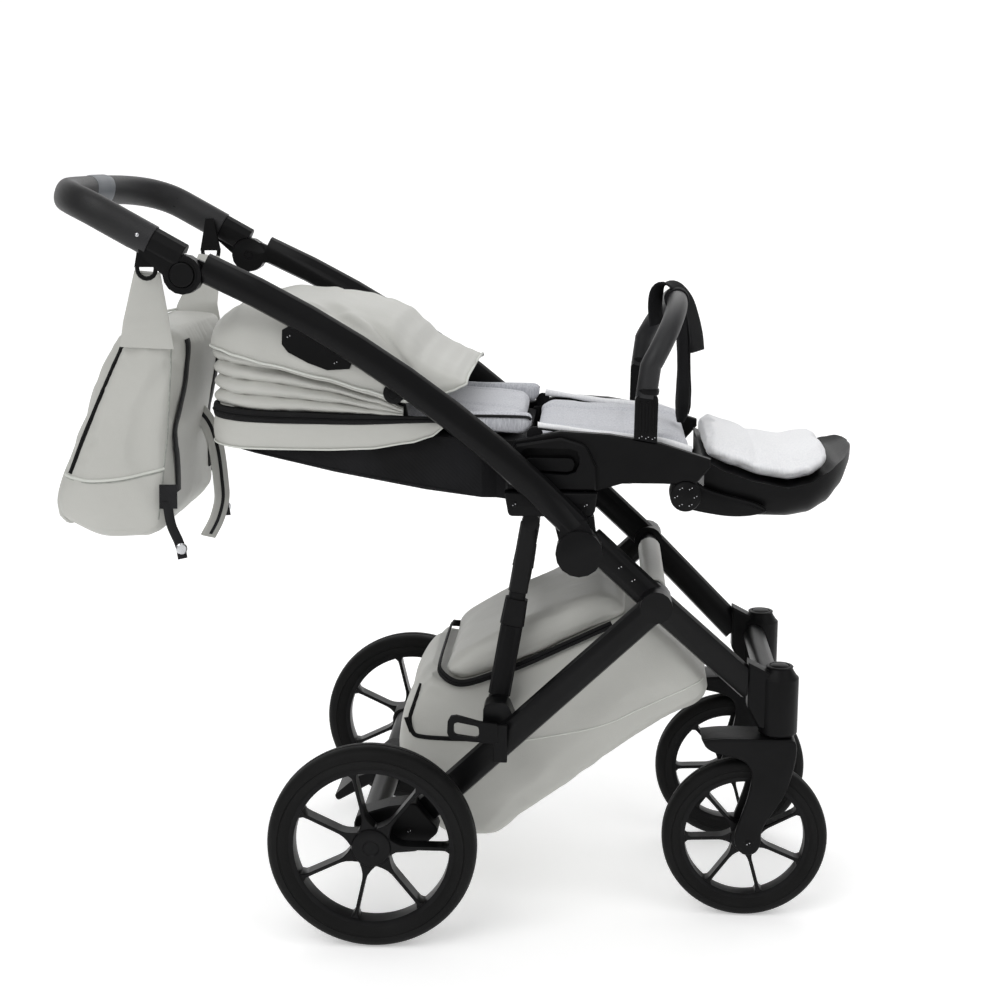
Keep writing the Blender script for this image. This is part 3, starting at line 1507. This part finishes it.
def bumper_line(bends):
    """Centre line of the bumper bar, from the left plug over to the right one."""
    half = []
    for share in (0.34, 0.40, 0.46, 0.52, 0.58):
        half.append(Vector((0.11 + 0.0475 * 0.5 * (share - 0.34), 0.18, 0.719 + 0.183 * share)))
    start = half[-1]
    for i in range(1, bends + 1):
        turn = math.pi / 2 * i / bends
        y = 0.18 * math.cos(turn) ** 0.8 if i < bends else 0.0
        z = start.z + (BUMPER_TOP_Z - start.z) * math.sin(turn)
        x = start.x + (BUMPER_TOP_X - start.x) * math.sin(turn)
        half.append(Vector((x, y, z)))
    return mirrored(half)


STRAP_OVER = [
    (0.1290, 0.8640), (0.1260, 0.8930), (0.1290, 0.9150), (0.1400, 0.9245), (0.1560, 0.9200),
    (0.1710, 0.9020), (0.1800, 0.8780), (0.1870, 0.8500), (0.1900, 0.8250),
]
# The crotch pad from its tip up: (height, half width, half thickness, lean forward)
CROTCH_PAD = [
    (0.7190, 0.0120, 0.0060, 0.0100),
    (0.7300, 0.0250, 0.0092, 0.0112),
    (0.7480, 0.0330, 0.0112, 0.0124),
    (0.7700, 0.0300, 0.0110, 0.0130),
    (0.7980, 0.0190, 0.0098, 0.0128),
    (0.8180, 0.0170, 0.0098, 0.0122),
    (0.8430, 0.0215, 0.0104, 0.0112),
    (0.8650, 0.0225, 0.0090, 0.0096),
    (0.8870, 0.0220, 0.0056, 0.0080),
]


def build_bumper():
    """Leatherette bumper bar with its plugs and collars, and the crotch strap over it."""
    refine("bumper_bar", "moulded_nylon")
    path = [put(p.x, p.y, p.z) for p in bumper_line(30)]
    section = rounded(BUMPER_R + 0.0013, BUMPER_R + 0.0013, 28)
    grip = sweep(path, section, (1, 0, -0.3))
    cover = make_object("bumper_cover", grip, "black_leatherette", 60)
    carry(cover, "bumper")
    ring = [
        (BUMPER_R - 0.001, -0.0045),
        (BUMPER_R + 0.0018, -0.0040),
        (BUMPER_R + 0.0024, 0.0),
        (BUMPER_R + 0.0018, 0.0040),
        (BUMPER_R - 0.001, 0.0045),
    ]
    for label, side in SIDES:
        foot = put(0.1125, side * 0.18, 0.7905)
        turned = lathe(ring, foot, (0.1, 0, 1), 36, ring=True)
        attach(make_object("bumper_collar_" + label, turned, "moulded_nylon"), "bumper")
        for k, x in enumerate((0.1020, 0.1110, 0.1200), 1):
            rib = [
                (x - 0.0016, 0.7330), (x + 0.0016, 0.7328),
                (x + 0.0018, 0.7760), (x - 0.0014, 0.7765),
            ]
            name = "plug_rib_%s_%d" % (label, k)
            faces = side * 0.1905, side * 0.1922
            flat_plate(name, rib, *faces, "moulded_nylon", "bumper", 0.0006)
    dots = [(0.1030, 0.1912, 0.7270), (0.1120, 0.1912, 0.7262), (0.1210, 0.1912, 0.7254)]
    screw_set("plug_studs", both_sides(dots), "bumper", 0.0016)
    ring = [
        (BUMPER_R + 0.0009, -0.0230),
        (BUMPER_R + 0.0036, -0.0224),
        (BUMPER_R + 0.0046, -0.0120),
        (BUMPER_R + 0.0048, 0.0),
        (BUMPER_R + 0.0046, 0.0120),
        (BUMPER_R + 0.0036, 0.0224),
        (BUMPER_R + 0.0009, 0.0230),
    ]
    turned = lathe(ring, put(BUMPER_TOP_X, 0, BUMPER_TOP_Z), (0, 1, 0), 48, ring=True)
    loop = make_object("crotch_loop", turned, "black_canvas")
    carry(loop, "bumper")
    line = spline([put(x, 0.0, z) for x, z in STRAP_OVER], 44)
    strap = sweep(line, rounded(0.0200, 0.0024, 20, 4.0), (0.52, 0.85, 0))
    strap = make_object("crotch_strap_over", strap, "black_canvas", 60)
    carry(strap, "bumper")
    slices = []
    for k in range(46):
        z = CROTCH_PAD[0][0] + (CROTCH_PAD[-1][0] - CROTCH_PAD[0][0]) * k / 45
        slices.append((z, *interpolate(CROTCH_PAD, z)))
    rings = []
    for z, half_w, half_t, lean in slices:
        section = rounded(half_w, half_t, 28, 2.4)
        rings.append([put(BUMPER_TOP_X + lean + b, a, z) for a, b in section])
    leaf = make_object("crotch_pad", skin(rings), "black_canvas", 60)
    carry(leaf, "bumper")
    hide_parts("crotch_strap")
    for tag, side in (("near", -1), ("far", 1)):
        line = []
        for z, half_w, half_t, lean in slices[4:]:
            line.append(put(BUMPER_TOP_X + lean + half_t * 0.86, side * (half_w - 0.0030), z))
        cord_along("crotch_binding_" + tag, line, 0.0011, "webbing", "bumper", 6)


# ---------------------------------------------------------------- bag


BAG_OUTLINE = [
    (-0.6330, 0.8690), (-0.6520, 0.8420), (-0.6690, 0.8130), (-0.6870, 0.7780), (-0.7040, 0.7370),
    (-0.7200, 0.6970), (-0.7350, 0.6560), (-0.7440, 0.6300), (-0.7480, 0.6100), (-0.7455, 0.5880),
    (-0.7340, 0.5770), (-0.7130, 0.5680), (-0.6890, 0.5600), (-0.6640, 0.5570), (-0.6380, 0.5565),
    (-0.6130, 0.5575), (-0.5930, 0.5680), (-0.5790, 0.5880), (-0.5790, 0.6280), (-0.5790, 0.6680),
    (-0.5780, 0.7070), (-0.5710, 0.7500), (-0.5630, 0.7900), (-0.5575, 0.8250), (-0.5575, 0.8550),
    (-0.5640, 0.8660), (-0.5860, 0.8685), (-0.6090, 0.8695),
]


BAG_POCKET = [
    (-0.7130, 0.6970), (-0.7320, 0.6560), (-0.7440, 0.6300),
    (-0.7480, 0.6100), (-0.7455, 0.5880), (-0.7340, 0.5770),
]
BAG_ZIP = [
    (-0.6359, 0.8544), (-0.6536, 0.8171), (-0.6779, 0.7664), (-0.7058, 0.7079), (-0.7276, 0.6561),
]
BAG_BACK_SEAM = [(-0.5600, 0.8560), (-0.5665, 0.7861), (-0.5801, 0.6666), (-0.5890, 0.5900)]
BAG_POCKET_SEAM = [(-0.7337, 0.6531), (-0.6941, 0.6476), (-0.6468, 0.6511), (-0.5860, 0.6640)]
BAG_SHOULDER = [
    (-0.5900, 0.7290), (-0.5700, 0.7050), (-0.5600, 0.6800), (-0.5540, 0.6500),
    (-0.5505, 0.6100), (-0.5500, 0.5800), (-0.5590, 0.5480), (-0.5740, 0.5200),
]
# The loose strap at the bag's side, with its distance across the pram
BAG_SIDE_STRAP = [
    (-0.5790, 0.1520, 0.6180), (-0.5740, 0.1535, 0.5850),
    (-0.5640, 0.1500, 0.5560), (-0.5600, 0.1490, 0.5330),
]
BAG_SLIDER = [
    (0.0, 0.0028), (0.0066, 0.0026), (0.0084, 0.0010), (0.0084, -0.0010), (0.0, -0.0026),
]


def bag_sag(x, y, z):
    """Slack of the bag's cloth: folds below the mouth and a fuller belly."""
    low = 1 - smooth_step(0.58, 0.70, z)
    high = smooth_step(0.74, 0.85, z)
    fold = ripple(x, y * 0.7, z, 0.055, 2.0) * 0.0030
    pull = math.sin(z / 0.012 + y * 14 + x * 20) * 0.0007 * high
    return fold * (0.4 + 0.6 * low) + pull


def build_bag():
    """Changing bag: stuffed body, pocket, zip, piping, straps, tab and shoulder strap."""
    shell = outline_solid(BAG_OUTLINE, -0.1460, 0.1460, 0.0200, 6)
    body = make_object("bag_body", shell, "pale_leatherette", 80)
    puff(body, 0.0065, sizes().puff, 0.01, hold=lambda p: p[2] > 0.862)
    sculpt(body, bag_sag)
    dress(body, "bag", "bag")
    for label, side in SIDES:
        face = side * 0.1500

        def on_side(line, lift, shift=0.0):
            path = spline([put(x + shift, face, z) for x, z in line], 40)
            return laid(path, body, (0, -side, 0), lift)

        path = on_side(BAG_ZIP, 0.0008, 0.004)
        ribbon("bag_zip_" + label, path, (0, side, 0), 0.0066, 0.0026, "zip_tape", "bag")
        teeth = [p + Vector((0, side * 0.0014, 0)) for p in path]
        cord_along("bag_zip_chain_" + label, teeth, 0.0009, "moulded_nylon", "bag", 6)
        seam = on_side(BAG_BACK_SEAM, 0.0, -0.006)
        cord_along("bag_side_piping_" + label, seam, 0.0012, "sewing_thread", "bag")
        seam = on_side(BAG_POCKET_SEAM, 0.0004)
        cord_along("bag_pocket_piping_" + label, seam, sizes().piping, "pale_trim", "bag")
        seam = [p - Vector((0, 0, 0.0036)) for p in seam]
        cord_along("bag_pocket_seam_" + label, seam, 0.0008, "sewing_thread", "bag")
        heights = (0.850, 0.815, 0.780, 0.740, 0.700, 0.660, 0.625)
        down = spline([put(-0.5530, side * 0.104, z) for z in heights], 40)
        down = laid(down, body, (-1, 0, 0), 0.0010)
        ribbon("bag_back_webbing_" + label, down, (1, 0, 0), 0.0240, 0.0020, "webbing", "bag")
        tab = [(-0.5900, 0.6430), (-0.5640, 0.6434), (-0.5650, 0.6079), (-0.5910, 0.6074)]
        faces = sorted((face - side * 0.002, face + side * 0.0022))
        flat_plate("bag_tab_" + label, tab, *faces, "webbing", "bag")
        hang = spline([put(x, side * y, z) for x, y, z in BAG_SIDE_STRAP], 24)
        ribbon("bag_side_strap_" + label, hang, (0.4, side, 0), 0.0140, 0.0018, "webbing", "bag")
        slider = lathe(BAG_SLIDER, put(-0.5610, face, 0.5480), (0.3, side, 0), 24)
        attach(make_object("bag_slider_" + label, slider, "plated_steel"), "bag")
        top = put(HOOK_X - 0.001, side * 0.1885, 0.9520)
        low = put(-0.5990, side * 0.1525, 0.8420)
        over = put(-0.5975, side * 0.1545, 0.8720)
        strap = spline([top, top.lerp(over, 0.35), top.lerp(over, 0.75), over, low], 24)
        rings = []
        for k, point in enumerate(strap):
            share = k / 23
            wide = 0.0180 + 0.0215 * share
            ahead = ahead_of(strap, k)
            across = Vector((1, 0, 0.3))
            across = (across - ahead * across.dot(ahead)).normalized()
            face_n = ahead.cross(across)
            rings.append([point + across * a + face_n * b for a, b in rounded(wide, 0.0024, 20, 4.0)])
        hanger = make_object("bag_strap_" + label, skin(rings), "pale_leatherette", 50)
        carry(hanger, "bag")
    rim = [put(-0.6280, y, z) for y, z in ((-0.1440, 0.8700), (0.0, 0.8745), (0.1440, 0.8700))]
    cord_along("bag_mouth_piping", spline(rim, 40), 0.0020, "pale_trim", "bag")
    pocket = [(x - 0.0035, z) for x, z in BAG_POCKET]
    pocket += [(x + 0.012, z) for x, z in reversed(BAG_POCKET)]
    slab = outline_solid(pocket, -0.1300, 0.1300, 0.0050)
    panel = make_object("bag_pocket", slab, "pale_leatherette", 80)
    remesh(panel, 0.005)
    even(panel, 4)
    sculpt(panel, lambda x, y, z: 0.0024 * ripple(x, y, z, 0.05, 6.0))
    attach(panel, "bag")
    path = spline([put(x + 0.004, 0.054, z) for x, z in BAG_SHOULDER], 50)
    turned = Vector((0.80, -0.60, 0))
    band = ribbon("bag_shoulder_band", path, turned, 0.0300, 0.0050, "pale_leatherette", "bag")
    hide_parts("bag_shoulder_strap")
    stripe = [p + turned * 0.0029 for p in path[1:-1]]
    ribbon("bag_shoulder_line", stripe, turned, 0.0065, 0.0012, "webbing", "bag")


# ---------------------------------------------------------------- basket


HULL = [
    (-0.2020, 0.3580), (-0.2210, 0.3350), (-0.2370, 0.3000), (-0.2460, 0.2700),
    (-0.2480, 0.2400), (-0.2250, 0.1900), (-0.1900, 0.1200), (-0.1300, 0.1080),
    (-0.0940, 0.1190), (-0.0208, 0.1700), (0.0550, 0.2290),
    (0.1311, 0.2870), (0.2000, 0.3250), (0.2130, 0.3560), (0.1820, 0.3960), (0.1530, 0.4230),
    (0.1000, 0.4540), (0.0500, 0.4350), (-0.0560, 0.3850), (-0.1500, 0.3520),
]
LID = [
    (-0.1800, 0.3690), (-0.1740, 0.3600), (-0.1640, 0.3550), (-0.1501, 0.3536), (-0.1050, 0.3680),
    (-0.0563, 0.3865), (-0.0050, 0.4100), (0.0497, 0.4375), (0.0900, 0.4540), (0.0860, 0.4720),
    (0.0650, 0.4840), (0.0380, 0.4790), (0.0100, 0.4690), (-0.0200, 0.4570), (-0.0500, 0.4440),
    (-0.0820, 0.4300), (-0.1130, 0.4140), (-0.1450, 0.3950), (-0.1680, 0.3790),
]


LOW_ZIP = [
    (-0.2140, 0.3400), (-0.2210, 0.3200), (-0.2290, 0.2930), (-0.2240, 0.2740),
    (-0.2100, 0.2680), (-0.1700, 0.2655), (-0.1200, 0.2650),
]
HULL_SEAM = [
    (0.2060, 0.3640), (0.1678, 0.3441), (0.1100, 0.3150),
    (0.0549, 0.2896), (-0.0300, 0.2700), (-0.1159, 0.2560),
]
LID_ZIP = [
    (0.0675, 0.4447), (0.0000, 0.4120), (-0.0587, 0.3834),
    (-0.1050, 0.3650), (-0.1440, 0.3520), (-0.1660, 0.3540),
]


def basket_sag(x, y, z):
    """Slack of the basket's cloth: broad waves, with finer ones towards its floor."""
    low = 1 - smooth_step(0.20, 0.34, z)
    fine = 0.0018 * ripple(x, y, z, 0.028, 8.0)
    return 0.0036 * ripple(x * 0.8, y, z * 1.2, 0.070, 3.0) + fine * low


def build_basket():
    """Shopping basket: sagging hull, zipped lid, tapes, pullers and the seams."""
    shell = outline_solid(smooth_outline(HULL, 90), -0.1480, 0.1480, 0.0140, 6)
    hull = make_object("basket_hull", shell, "pale_leatherette", 80)
    puff(hull, 0.0070, 0.0035, 0.01)
    sculpt(hull, basket_sag)
    dress(hull, "front_frame", "basket")
    shell = outline_solid(smooth_outline(LID, 80), -0.1440, 0.1440, 0.0160, 6)
    lid = make_object("basket_cover", shell, "pale_leatherette", 80)
    puff(lid, 0.0060, 0.0040, 0.01)
    sculpt(lid, lambda x, y, z: 0.0022 * ripple(x, y, z, 0.050, 5.0))
    dress(lid, "front_frame", "basket_lid")
    for label, side in SIDES:
        face = side * 0.1515
        inward = (0, -side, 0)
        path = laid(spline([put(x, face, z) for x, z in LOW_ZIP], 60), hull, inward, 0.0008)
        name = "basket_low_zip_" + label
        ribbon(name, path, (0, side, 0), 0.0066, 0.0022, "zip_tape", "front_frame")
        teeth = [p + Vector((0, side * 0.0014, 0)) for p in path]
        name = "basket_low_chain_" + label
        cord_along(name, teeth, 0.0011, "moulded_nylon", "front_frame", 6)
        pull = [(-0.2370, 0.2980), (-0.2310, 0.2990), (-0.2230, 0.2770), (-0.2290, 0.2750)]
        faces = sorted((path[30].y + side * 0.0014, path[30].y + side * 0.0036))
        name = "basket_puller_" + label
        flat_plate(name, pull, *faces, "moulded_nylon", "front_frame", 0.0006)
        path = laid(spline([put(x, face, z) for x, z in HULL_SEAM], 60), hull, inward, 0.0)
        cord_along("basket_seam_" + label, path, 0.0013, "pale_trim", "front_frame")
    half = [put(x, -0.1515, z) for x, z in LID_ZIP]
    half += [put(-0.1850, -0.1300, 0.3620), put(-0.1880, -0.1000, 0.3680)]
    half.append(put(-0.1880, 0.0, 0.3700))
    path = spline(mirrored(half), 160)
    faces = []
    for p in path:
        round_back = smooth_step(-0.160, -0.184, p.x - SHIFT)
        faces.append(Vector((-round_back, math.copysign(1 - round_back, p.y), 0.45 * round_back)))
    ribbon("basket_zip", path, faces, 0.0110, 0.0026, "zip_tape", "front_frame")
    chain = [p + f.normalized() * 0.0015 for p, f in zip(path, faces)]
    cord_along("basket_zip_chain", chain, 0.0011, "moulded_nylon", "front_frame", 6)
    sleeve = refine("centre_tube_sleeve", "pale_leatherette", 0.0012, 60)


def build_backrest():
    """The canvas-covered board under the backrest, with its bound edge."""
    board = refine("backrest_shell", "black_canvas", 0.0020, 50)
    line = [
        (-0.4560, 0.7005), (-0.4108, 0.6890), (-0.3300, 0.6715),
        (-0.2450, 0.6560), (-0.1500, 0.6400),
    ]
    for label, side in SIDES:
        path = spline([put(x, side * 0.1716, z) for x, z in line], 40)
        cord_along("board_binding_" + label, path, 0.0014, "webbing", "backrest")


# ---------------------------------------------------------------- stage


def build_stage():
    """Plain pale floor and backdrop, soft studio lights and the camera."""
    paper, shader, place = start_finish("matt_studio_paper", 0.9)
    stain(paper, shader, place, "FAFAFA", "F8F8F8", 900)
    shader.inputs["Emission Color"].default_value = linear("FFFFFF")
    shader.inputs["Emission Strength"].default_value = STUDIO_GLOW
    fibres = add_node(paper, "TexNoise", Vector=place, Scale=per_metre(4))
    relief(paper, shader, [(fibres.outputs["Fac"], 0.05)])
    widths = (-7, -3.5, 0, 3.5, 7)
    rows = []
    for k in range(41):
        share = k / 40
        if share < 0.5:
            y, z = -4.0 + 12.0 * share, 0.0
        else:
            turn = (share - 0.5) * math.pi
            y, z = 2.0 + 2.0 * math.sin(turn), 2.0 - 2.0 * math.cos(turn)
        rows.append([Vector((x, y, z)) for x in widths])
    rows += [[Vector((x, 4.0, z)) for x in widths] for z in (3.5, 6.0)]
    bm = bmesh.new()
    grid = [[bm.verts.new(p) for p in row] for row in rows]
    for a, b in zip(grid, grid[1:]):
        for j in range(len(widths) - 1):
            bm.faces.new((a[j], a[j + 1], b[j + 1], b[j]))
    make_object("studio_paper", bm, "matt_studio_paper", 60)
    scene = bpy.context.scene
    world = bpy.data.worlds.new("studio_air")
    world.use_nodes = True
    back = world.node_tree.nodes["Background"]
    back.inputs["Color"].default_value = (1.0, 1.0, 1.0, 1.0)
    back.inputs["Strength"].default_value = STUDIO_GLOW
    scene.world = world
    scene.view_settings.view_transform = "Standard"
    for name, place, size, power in LAMPS:
        light = bpy.data.lights.new(name, "AREA")
        light.size = size
        light.energy = power
        obj = bpy.data.objects.new(name, light)
        scene.collection.objects.link(obj)
        obj.location = place
        aim = LAMPS_AIM - Vector(place)
        obj.rotation_euler = aim.to_track_quat("-Z", "Y").to_euler()
    camera = bpy.data.cameras.new("photo_camera")
    camera.lens = sizes().lens
    camera.sensor_width = 36
    camera.clip_start = 0.05
    viewer = bpy.data.objects.new("photo_camera", camera)
    scene.collection.objects.link(viewer)
    viewer.location = CAMERA_PLACE
    viewer.rotation_euler = CAMERA_TURN
    scene.camera = viewer


# ---------------------------------------------------------------- operators


def build_finishes():
    """Every finish, made once before the pieces that wear it."""
    for make in (
        powder_coat,
        moulded_nylon,
        wheel_nylon,
        foam_rubber,
        leatherettes,
        jerseys,
        wovens,
        plated_steel,
        sewing_thread,
    ):
        make()


class PRAM_OT_finishes(bpy.types.Operator):
    """Make the pram's finishes"""

    bl_idname = "pram.finishes"
    bl_label = "Finishes"

    def execute(self, context):
        build_finishes()
        return {"FINISHED"}


class PRAM_OT_chassis(bpy.types.Operator):
    """Dress the tubes, joints and hard pieces"""

    bl_idname = "pram.chassis"
    bl_label = "Chassis"

    def execute(self, context):
        build_chassis()
        build_fittings()
        return {"FINISHED"}


class PRAM_OT_wheels(bpy.types.Operator):
    """Build the four wheels"""

    bl_idname = "pram.wheels"
    bl_label = "Wheels"

    def execute(self, context):
        build_wheels()
        return {"FINISHED"}


class PRAM_OT_handlebar(bpy.types.Operator):
    """Cover the handlebar"""

    bl_idname = "pram.handlebar"
    bl_label = "Handlebar"

    def execute(self, context):
        build_handlebar()
        return {"FINISHED"}


class PRAM_OT_backrest(bpy.types.Operator):
    """Cover the backrest's board"""

    bl_idname = "pram.backrest"
    bl_label = "Backrest board"

    def execute(self, context):
        build_backrest()
        return {"FINISHED"}


class PRAM_OT_hood(bpy.types.Operator):
    """Build the folded hood"""

    bl_idname = "pram.hood"
    bl_label = "Hood"

    def execute(self, context):
        build_hood()
        return {"FINISHED"}


class PRAM_OT_liner(bpy.types.Operator):
    """Stuff the seat's liner"""

    bl_idname = "pram.liner"
    bl_label = "Liner"

    def execute(self, context):
        build_liner()
        return {"FINISHED"}


class PRAM_OT_footrest(bpy.types.Operator):
    """Build the footrest and stuff its pad"""

    bl_idname = "pram.footrest"
    bl_label = "Footrest"

    def execute(self, context):
        build_footrest()
        build_footrest_pad()
        return {"FINISHED"}


class PRAM_OT_bumper(bpy.types.Operator):
    """Cover the bumper bar and hang its crotch strap"""

    bl_idname = "pram.bumper"
    bl_label = "Bumper bar"

    def execute(self, context):
        build_bumper()
        return {"FINISHED"}


class PRAM_OT_bag(bpy.types.Operator):
    """Stuff and hang the changing bag"""

    bl_idname = "pram.bag"
    bl_label = "Bag"

    def execute(self, context):
        build_bag()
        return {"FINISHED"}


class PRAM_OT_basket(bpy.types.Operator):
    """Hang the shopping basket"""

    bl_idname = "pram.basket"
    bl_label = "Basket"

    def execute(self, context):
        build_basket()
        return {"FINISHED"}


class PRAM_OT_stage(bpy.types.Operator):
    """Set the floor, the lights and the camera"""

    bl_idname = "pram.stage"
    bl_label = "Stage"

    def execute(self, context):
        build_stage()
        return {"FINISHED"}


OPERATORS = (
    PRAM_OT_finishes,
    PRAM_OT_chassis,
    PRAM_OT_wheels,
    PRAM_OT_handlebar,
    PRAM_OT_backrest,
    PRAM_OT_hood,
    PRAM_OT_liner,
    PRAM_OT_footrest,
    PRAM_OT_bumper,
    PRAM_OT_bag,
    PRAM_OT_basket,
    PRAM_OT_stage,
)


class PRAM_PT_panel(bpy.types.Panel):
    """The pram's pieces, in the order they are made"""

    bl_idname = "PRAM_PT_panel"
    bl_label = "Pram"
    bl_space_type = "VIEW_3D"
    bl_region_type = "UI"
    bl_category = "Pram"

    def draw(self, context):
        for group in (context.scene.pram_colours, context.scene.pram_sizes):
            for name in group.bl_rna.properties.keys():
                if name not in ("rna_type", "name"):
                    self.layout.prop(group, name)
        for operator in OPERATORS:
            self.layout.operator(operator.bl_idname)


CLASSES = (PRAM_PG_colours, PRAM_PG_sizes) + OPERATORS + (PRAM_PT_panel,)


def register():
    """Make the classes and the settings known to Blender."""
    for cls in CLASSES:
        bpy.utils.register_class(cls)
    bpy.types.Scene.pram_colours = bpy.props.PointerProperty(type=PRAM_PG_colours)
    bpy.types.Scene.pram_sizes = bpy.props.PointerProperty(type=PRAM_PG_sizes)


def unregister():
    """Take the settings and the classes away again."""
    del bpy.types.Scene.pram_sizes
    del bpy.types.Scene.pram_colours
    for cls in reversed(CLASSES):
        bpy.utils.unregister_class(cls)


def main():
    """Dress the whole pram."""
    register()
    for operator in OPERATORS:
        group, name = operator.bl_idname.split(".")
        getattr(getattr(bpy.ops, group), name)()


if __name__ == "__main__":
    main()
